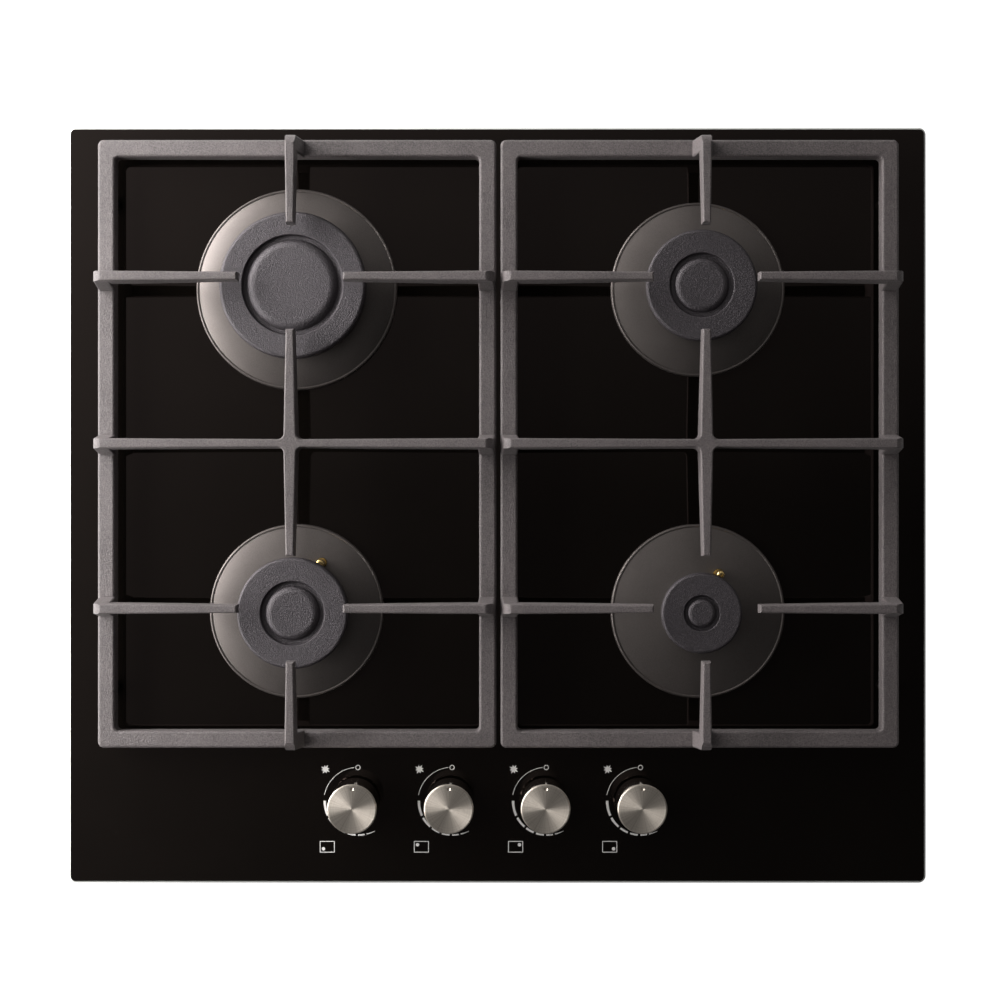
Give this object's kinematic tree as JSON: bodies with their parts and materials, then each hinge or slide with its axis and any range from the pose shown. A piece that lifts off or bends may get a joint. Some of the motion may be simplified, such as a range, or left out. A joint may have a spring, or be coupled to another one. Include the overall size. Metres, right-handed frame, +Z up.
{
  "type": "gas cooktop",
  "caption": "Built-in gas cooktop with a black glass top, burners under two lift-off cast pan supports, push-and-turn front knobs and a shallow tray below.",
  "frame": {"origin": "under the centre of the glass, on the plane of the tray's underside", "axes": "+X to the right and +Y to the rear as seen by the cook, +Z up"},
  "size_m": [0.59, 0.52, 0.093],
  "materials": {
    "black_glass": "polished black toughened glass with a ground pale edge",
    "enamelled_iron": "matt grey enamel with an orange-peel texture",
    "cap_enamel": "matt speckled dark enamel",
    "dish_satin": "satin warm grey",
    "cast_aluminium": "as cast, fine grained",
    "pipe_aluminium": "drawn, satin",
    "spun_steel": "spun satin top, polished side",
    "plain_steel": "bright",
    "zinc_sheet": "galvanised, faint spangle",
    "brass": "machined",
    "probe_brass": "bright",
    "ceramic": "glazed white ceramic",
    "black_rubber": "matt",
    "foam": "closed-cell foam",
    "black_plastic": "moulded",
    "lead_sleeve": "silicone sleeve"
  },
  "bodies": {
    "root": {"bottom_tray": "zinc_sheet", "burner_cup_front_left": "cast_aluminium", "burner_cup_front_right": "cast_aluminium", "burner_cup_rear_left": "cast_aluminium", "burner_cup_rear_right": "cast_aluminium", "burner_dish_front_left": "dish_satin", "burner_dish_front_right": "dish_satin", "burner_dish_rear_left": "dish_satin", "burner_dish_rear_right": "dish_satin", "cable_gland": "black_plastic", "gas_injectors": "brass", "gas_pipe_front_left": "pipe_aluminium", "gas_pipe_front_right": "pipe_aluminium", "gas_pipe_rear_left": "pipe_aluminium", "gas_pipe_rear_right": "pipe_aluminium", "gas_rail": "zinc_sheet", "glass_panel": "black_glass", "ignition_leads": "lead_sleeve", "ignition_switches": "black_plastic", "inlet_elbow": "brass", "knob_seals": "black_rubber", "magnet_units": "plain_steel", "pipe_nuts": "brass", "screws": "plain_steel", "spark_electrode_ceramics": "ceramic", "spark_electrode_tips": "plain_steel", "spark_generator": "black_plastic", "tap_bodies": "cast_aluminium", "tap_covers": "plain_steel", "terminal_block": "black_plastic", "thermocouples": "probe_brass", "worktop_gasket": "foam"},
    "support_left": {"pan_support_left": "enamelled_iron", "support_feet_left": "black_rubber"},
    "support_right": {"pan_support_right": "enamelled_iron", "support_feet_right": "black_rubber"},
    "cap_rear_left": {"burner_cap_rear_left": "cap_enamel"},
    "spreader_rear_left": {"flame_spreader_rear_left": "cast_aluminium"},
    "cap_rear_right": {"burner_cap_rear_right": "cap_enamel"},
    "spreader_rear_right": {"flame_spreader_rear_right": "cast_aluminium"},
    "cap_front_left": {"burner_cap_front_left": "cap_enamel"},
    "spreader_front_left": {"flame_spreader_front_left": "cast_aluminium"},
    "cap_front_right": {"burner_cap_front_right": "cap_enamel"},
    "spreader_front_right": {"flame_spreader_front_right": "cast_aluminium"},
    "plug_front_left": {"tap_plug_front_left": "brass", "return_spring_front_left": "plain_steel"},
    "knob_front_left": {"knob_front_left": "spun_steel", "tap_spindle_front_left": "plain_steel"},
    "plug_rear_left": {"tap_plug_rear_left": "brass", "return_spring_rear_left": "plain_steel"},
    "knob_rear_left": {"knob_rear_left": "spun_steel", "tap_spindle_rear_left": "plain_steel"},
    "plug_rear_right": {"tap_plug_rear_right": "brass", "return_spring_rear_right": "plain_steel"},
    "knob_rear_right": {"knob_rear_right": "spun_steel", "tap_spindle_rear_right": "plain_steel"},
    "plug_front_right": {"tap_plug_front_right": "brass", "return_spring_front_right": "plain_steel"},
    "knob_front_right": {"knob_front_right": "spun_steel", "tap_spindle_front_right": "plain_steel"}
  },
  "joints": [
    {"name": "support_left_lift", "type": "slide", "parent": "root", "child": "support_left", "axis": [0, 0, 1], "range_m": [0, 0.2]},
    {"name": "support_right_lift", "type": "slide", "parent": "root", "child": "support_right", "axis": [0, 0, 1], "range_m": [0, 0.2]},
    {"name": "cap_rear_left_lift", "type": "slide", "parent": "root", "child": "cap_rear_left", "axis": [0, 0, 1], "range_m": [0, 0.12]},
    {"name": "spreader_rear_left_lift", "type": "slide", "parent": "root", "child": "spreader_rear_left", "axis": [0, 0, 1], "range_m": [0, 0.06]},
    {"name": "cap_rear_right_lift", "type": "slide", "parent": "root", "child": "cap_rear_right", "axis": [0, 0, 1], "range_m": [0, 0.12]},
    {"name": "spreader_rear_right_lift", "type": "slide", "parent": "root", "child": "spreader_rear_right", "axis": [0, 0, 1], "range_m": [0, 0.06]},
    {"name": "cap_front_left_lift", "type": "slide", "parent": "root", "child": "cap_front_left", "axis": [0, 0, 1], "range_m": [0, 0.12]},
    {"name": "spreader_front_left_lift", "type": "slide", "parent": "root", "child": "spreader_front_left", "axis": [0, 0, 1], "range_m": [0, 0.06]},
    {"name": "cap_front_right_lift", "type": "slide", "parent": "root", "child": "cap_front_right", "axis": [0, 0, 1], "range_m": [0, 0.12]},
    {"name": "spreader_front_right_lift", "type": "slide", "parent": "root", "child": "spreader_front_right", "axis": [0, 0, 1], "range_m": [0, 0.06]},
    {"name": "tap_front_left_turn", "type": "hinge", "parent": "root", "child": "plug_front_left", "pos_m": [-0.0971, -0.2032, 0.03], "axis": [0, 0, 1], "range_deg": [0, 210]},
    {"name": "knob_front_left_press", "type": "slide", "parent": "plug_front_left", "child": "knob_front_left", "axis": [0, 0, 1], "range_m": [-0.0035, 0], "stiffness_N_per_m": 1500, "springref_m": 0.002, "deforming": ["return_spring_front_left"]},
    {"name": "tap_rear_left_turn", "type": "hinge", "parent": "root", "child": "plug_rear_left", "pos_m": [-0.0324, -0.2032, 0.03], "axis": [0, 0, 1], "range_deg": [0, 210]},
    {"name": "knob_rear_left_press", "type": "slide", "parent": "plug_rear_left", "child": "knob_rear_left", "axis": [0, 0, 1], "range_m": [-0.0035, 0], "stiffness_N_per_m": 1500, "springref_m": 0.002, "deforming": ["return_spring_rear_left"]},
    {"name": "tap_rear_right_turn", "type": "hinge", "parent": "root", "child": "plug_rear_right", "pos_m": [0.0324, -0.2032, 0.03], "axis": [0, 0, 1], "range_deg": [0, 210]},
    {"name": "knob_rear_right_press", "type": "slide", "parent": "plug_rear_right", "child": "knob_rear_right", "axis": [0, 0, 1], "range_m": [-0.0035, 0], "stiffness_N_per_m": 1500, "springref_m": 0.002, "deforming": ["return_spring_rear_right"]},
    {"name": "tap_front_right_turn", "type": "hinge", "parent": "root", "child": "plug_front_right", "pos_m": [0.0971, -0.2032, 0.03], "axis": [0, 0, 1], "range_deg": [0, 210]},
    {"name": "knob_front_right_press", "type": "slide", "parent": "plug_front_right", "child": "knob_front_right", "axis": [0, 0, 1], "range_m": [-0.0035, 0], "stiffness_N_per_m": 1500, "springref_m": 0.002, "deforming": ["return_spring_front_right"]}
  ],
  "couplings": [
    {"joint": "cap_rear_left_lift", "follows": "support_left_lift", "ratio": 0.6},
    {"joint": "spreader_rear_left_lift", "follows": "support_left_lift", "ratio": 0.3},
    {"joint": "cap_rear_right_lift", "follows": "support_right_lift", "ratio": 0.6},
    {"joint": "spreader_rear_right_lift", "follows": "support_right_lift", "ratio": 0.3},
    {"joint": "cap_front_left_lift", "follows": "support_left_lift", "ratio": 0.6},
    {"joint": "spreader_front_left_lift", "follows": "support_left_lift", "ratio": 0.3},
    {"joint": "cap_front_right_lift", "follows": "support_right_lift", "ratio": 0.6},
    {"joint": "spreader_front_right_lift", "follows": "support_right_lift", "ratio": 0.3}
  ]
}
